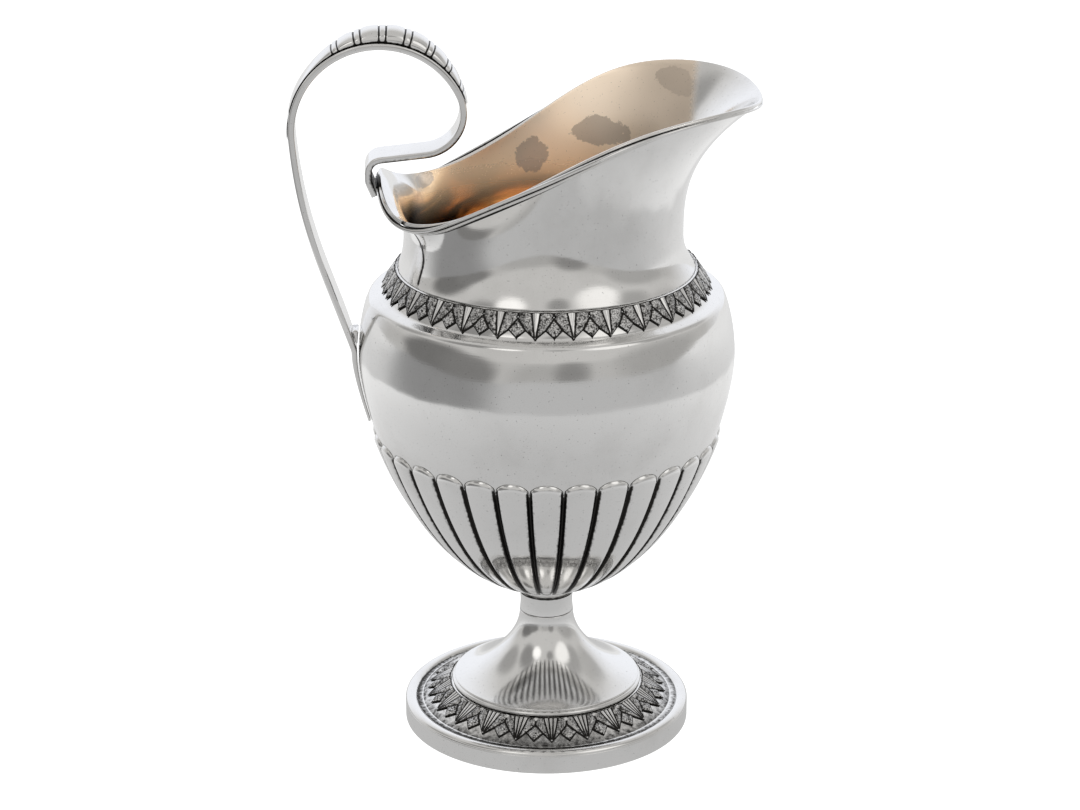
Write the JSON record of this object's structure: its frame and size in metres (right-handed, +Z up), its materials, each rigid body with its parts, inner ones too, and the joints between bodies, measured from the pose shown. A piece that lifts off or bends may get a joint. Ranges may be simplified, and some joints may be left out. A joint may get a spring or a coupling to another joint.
{
  "type": "footed jug",
  "caption": "Silver jug on a trumpet foot with a gadrooned vase body, a helmet neck with a pouring lip, leaf friezes and a high looped strap handle, for serving milk, cream or water.",
  "frame": {"origin": "middle of the jug's outline seen from above, on the table that the foot stands on", "axes": "+Z up along the jug's axis, +X towards the pouring lip, -X towards the handle, the jug's plane of symmetry is Y = 0"},
  "size_m": [0.127, 0.103, 0.2002],
  "materials": {
    "polished_silver": "old hand-polished silver with fine scratches and dark tarnish in the recesses",
    "gilt_lined_silver": "polished silver outside, worn gilding inside",
    "chased_silver": "chased leaves with a matted, tarnished ground"
  },
  "bodies": {
    "root": {"foot_edge_band": "polished_silver", "foot_plate": "polished_silver", "foot_frieze": "chased_silver", "pedestal_ring": "polished_silver", "pedestal": "polished_silver", "stem_collar": "polished_silver", "body": "gilt_lined_silver", "shoulder_frieze": "chased_silver", "neck": "gilt_lined_silver", "rim_moulding": "polished_silver", "handle_strap": "polished_silver", "handle_grip": "polished_silver", "handle_bracket": "polished_silver"}
  },
  "joints": []
}
